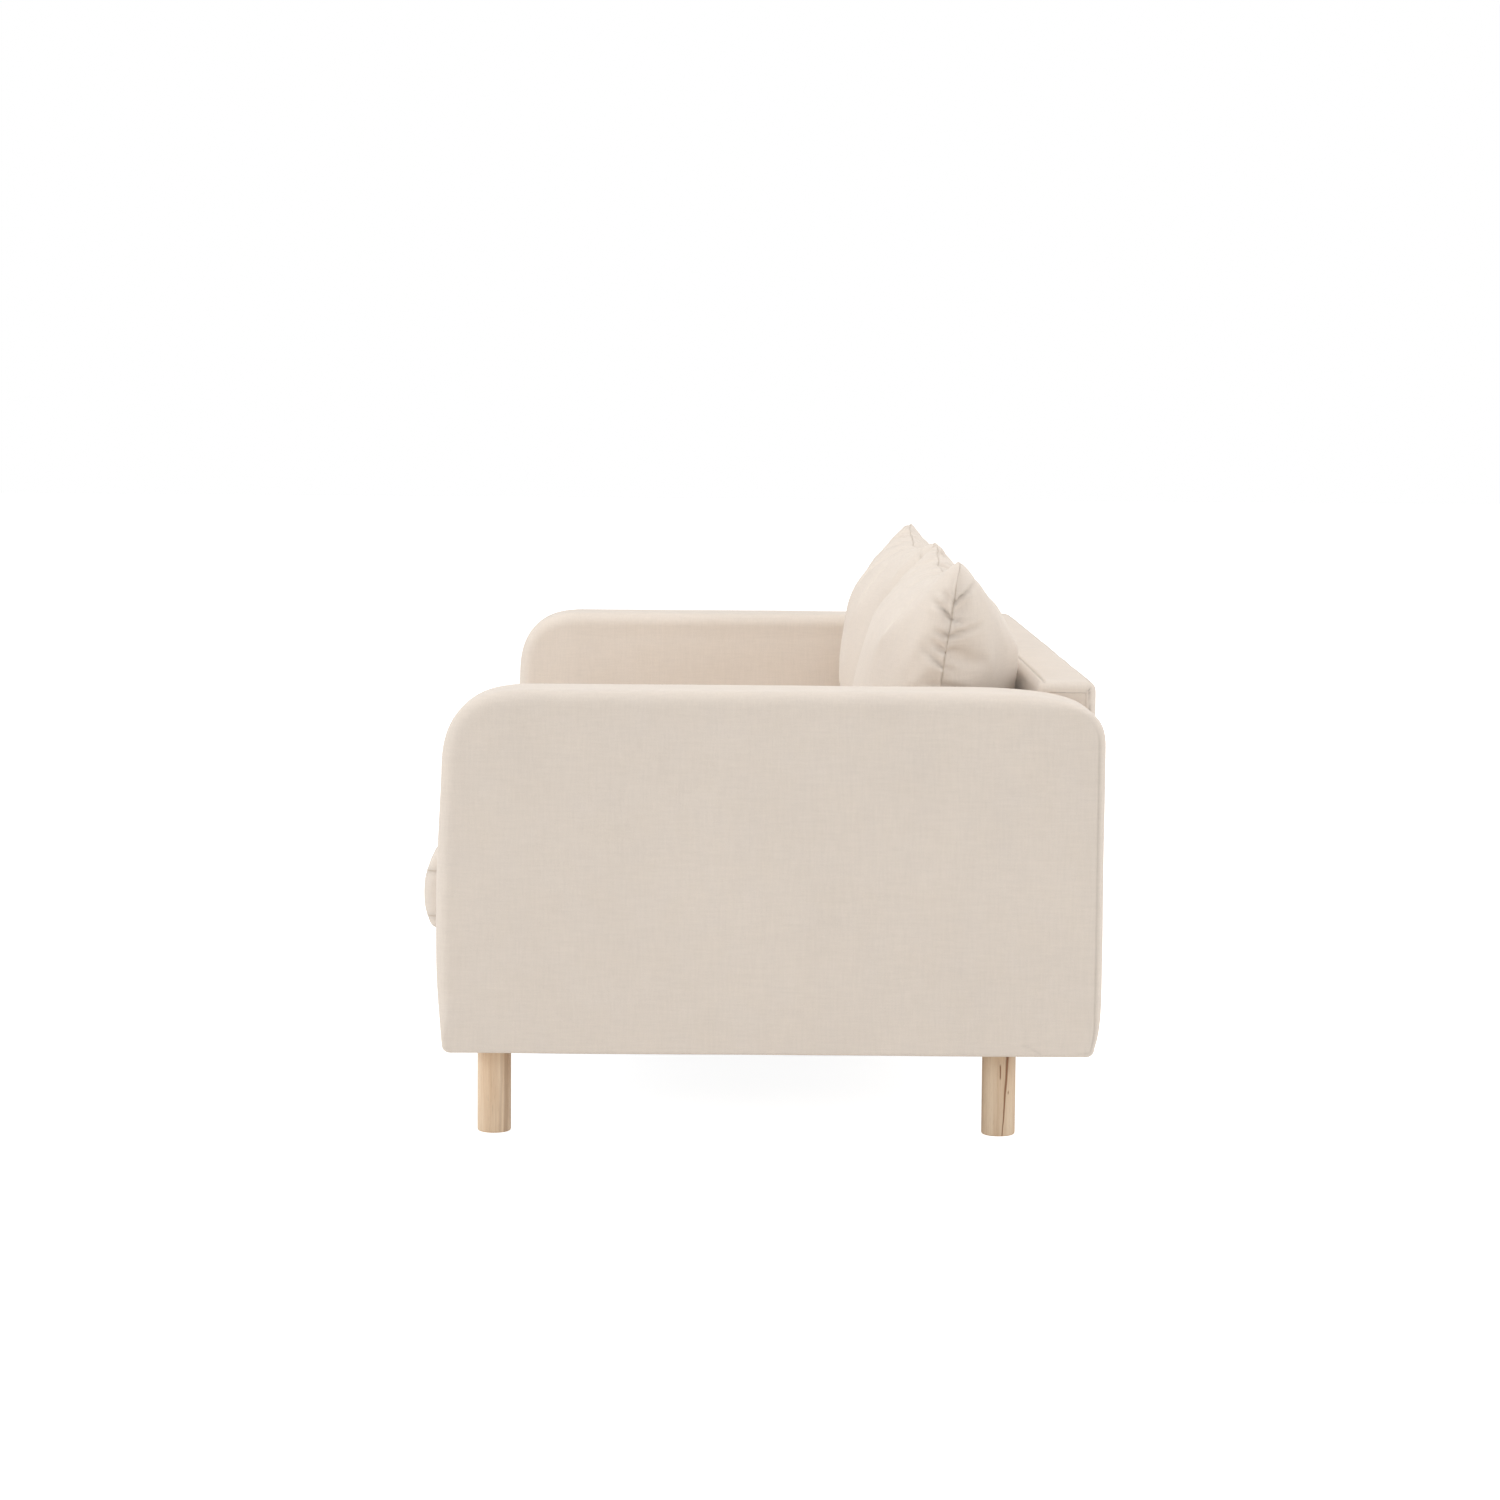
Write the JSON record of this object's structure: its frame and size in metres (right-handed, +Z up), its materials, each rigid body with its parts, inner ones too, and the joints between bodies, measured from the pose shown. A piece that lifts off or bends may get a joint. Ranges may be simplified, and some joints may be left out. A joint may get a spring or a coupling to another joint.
{
  "type": "sofa with wooden legs",
  "caption": "Compact upholstered sofa with panel arms, a padded back, loose seat and back cushions, and short round wooden legs.",
  "frame": {"origin": "on the floor, under the middle of the sofa's bounding box", "axes": "+X along the sofa towards the sitter's left arm, -Y towards the front, +Z up"},
  "size_m": [1.9, 0.907, 0.757],
  "materials": {
    "upholstery": "matte",
    "cushion_fabric": "matte",
    "foam": "matte",
    "deck_felt": "matte",
    "lining": "matte",
    "webbing": "matte",
    "leg_wood": "satin",
    "frame_timber": "matte",
    "steel": "satin",
    "washer_plastic": "matte"
  },
  "bodies": {
    "frame": {"base_front_border": "upholstery", "base_front_rail": "frame_timber", "base_rear_rail": "frame_timber", "base_centre_rail": "frame_timber", "base_left_rail": "frame_timber", "base_right_rail": "frame_timber", "seat_spring_1": "steel", "seat_spring_2": "steel", "seat_spring_3": "steel", "seat_spring_4": "steel", "seat_spring_5": "steel", "seat_spring_6": "steel", "seat_deck": "deck_felt", "base_dust_cover": "lining", "back_cover": "upholstery", "back_bottom_rail": "frame_timber", "back_top_rail": "frame_timber", "back_left_stile": "frame_timber", "back_right_stile": "frame_timber", "back_centre_stile": "frame_timber", "back_webbing_lower": "webbing", "back_webbing_upper": "webbing", "left_arm_cover": "upholstery", "left_arm_bottom_rail": "frame_timber", "left_arm_top_rail": "frame_timber", "left_arm_front_post": "frame_timber", "left_arm_rear_post": "frame_timber", "left_arm_front_bolt": "steel", "left_arm_rear_bolt": "steel", "right_arm_cover": "upholstery", "right_arm_bottom_rail": "frame_timber", "right_arm_top_rail": "frame_timber", "right_arm_front_post": "frame_timber", "right_arm_rear_post": "frame_timber", "right_arm_front_bolt": "steel", "right_arm_rear_bolt": "steel"},
    "front_left_leg_washer": {"front_left_leg_washer": "washer_plastic"},
    "front_left_leg": {"front_left_leg": "leg_wood", "front_left_leg_stud": "steel"},
    "rear_left_leg_washer": {"rear_left_leg_washer": "washer_plastic"},
    "rear_left_leg": {"rear_left_leg": "leg_wood", "rear_left_leg_stud": "steel"},
    "front_right_leg_washer": {"front_right_leg_washer": "washer_plastic"},
    "front_right_leg": {"front_right_leg": "leg_wood", "front_right_leg_stud": "steel"},
    "rear_right_leg_washer": {"rear_right_leg_washer": "washer_plastic"},
    "rear_right_leg": {"rear_right_leg": "leg_wood", "rear_right_leg_stud": "steel"},
    "left_seat_cushion": {"left_seat_cushion_cover": "cushion_fabric", "left_seat_cushion_core": "foam"},
    "left_seat_zip_slider": {"left_seat_zip_slider": "steel"},
    "left_back_cushion": {"left_back_cushion_cover": "cushion_fabric", "left_back_cushion_core": "foam"},
    "left_back_zip_slider": {"left_back_zip_slider": "steel"},
    "right_seat_cushion": {"right_seat_cushion_cover": "cushion_fabric", "right_seat_cushion_core": "foam"},
    "right_seat_zip_slider": {"right_seat_zip_slider": "steel"},
    "right_back_cushion": {"right_back_cushion_cover": "cushion_fabric", "right_back_cushion_core": "foam"},
    "right_back_zip_slider": {"right_back_zip_slider": "steel"}
  },
  "joints": [
    {"name": "front_left_leg_travel", "type": "slide", "parent": "frame", "child": "front_left_leg_washer", "axis": [0, 0, -1], "range_m": [0, 0.025]},
    {"name": "front_left_leg_screw", "type": "hinge", "parent": "front_left_leg_washer", "child": "front_left_leg", "pos_m": [0.88, -0.3525, 0], "axis": [0, 0, -1], "range_deg": [0, 7200]},
    {"name": "rear_left_leg_travel", "type": "slide", "parent": "frame", "child": "rear_left_leg_washer", "axis": [0, 0, -1], "range_m": [0, 0.025]},
    {"name": "rear_left_leg_screw", "type": "hinge", "parent": "rear_left_leg_washer", "child": "rear_left_leg", "pos_m": [0.88, 0.3235, 0], "axis": [0, 0, -1], "range_deg": [0, 7200]},
    {"name": "front_right_leg_travel", "type": "slide", "parent": "frame", "child": "front_right_leg_washer", "axis": [0, 0, -1], "range_m": [0, 0.025]},
    {"name": "front_right_leg_screw", "type": "hinge", "parent": "front_right_leg_washer", "child": "front_right_leg", "pos_m": [-0.88, -0.3525, 0], "axis": [0, 0, -1], "range_deg": [0, 7200]},
    {"name": "rear_right_leg_travel", "type": "slide", "parent": "frame", "child": "rear_right_leg_washer", "axis": [0, 0, -1], "range_m": [0, 0.025]},
    {"name": "rear_right_leg_screw", "type": "hinge", "parent": "rear_right_leg_washer", "child": "rear_right_leg", "pos_m": [-0.88, 0.3235, 0], "axis": [0, 0, -1], "range_deg": [0, 7200]},
    {"name": "left_seat_cushion_lift", "type": "slide", "parent": "frame", "child": "left_seat_cushion", "axis": [0, 0, 1], "range_m": [0, 0.3]},
    {"name": "left_back_cushion_lift", "type": "slide", "parent": "left_seat_cushion", "child": "left_back_cushion", "axis": [0, 0, 1], "range_m": [0, 0.35]},
    {"name": "left_seat_zip_slider_travel", "type": "slide", "parent": "left_seat_cushion", "child": "left_seat_zip_slider", "axis": [1, 0, 0], "range_m": [0, 0.6]},
    {"name": "left_back_zip_slider_travel", "type": "slide", "parent": "left_back_cushion", "child": "left_back_zip_slider", "axis": [1, 0, 0], "range_m": [0, 0.6]},
    {"name": "right_seat_cushion_lift", "type": "slide", "parent": "frame", "child": "right_seat_cushion", "axis": [0, 0, 1], "range_m": [0, 0.3]},
    {"name": "right_back_cushion_lift", "type": "slide", "parent": "right_seat_cushion", "child": "right_back_cushion", "axis": [0, 0, 1], "range_m": [0, 0.35]},
    {"name": "right_seat_zip_slider_travel", "type": "slide", "parent": "right_seat_cushion", "child": "right_seat_zip_slider", "axis": [-1, 0, 0], "range_m": [0, 0.6]},
    {"name": "right_back_zip_slider_travel", "type": "slide", "parent": "right_back_cushion", "child": "right_back_zip_slider", "axis": [-1, 0, 0], "range_m": [0, 0.6]}
  ],
  "couplings": [
    {"joint": "front_left_leg_travel", "follows": "front_left_leg_screw", "m_per_rad": 0.00019894},
    {"joint": "rear_left_leg_travel", "follows": "rear_left_leg_screw", "m_per_rad": 0.00019894},
    {"joint": "front_right_leg_travel", "follows": "front_right_leg_screw", "m_per_rad": 0.00019894},
    {"joint": "rear_right_leg_travel", "follows": "rear_right_leg_screw", "m_per_rad": 0.00019894}
  ]
}
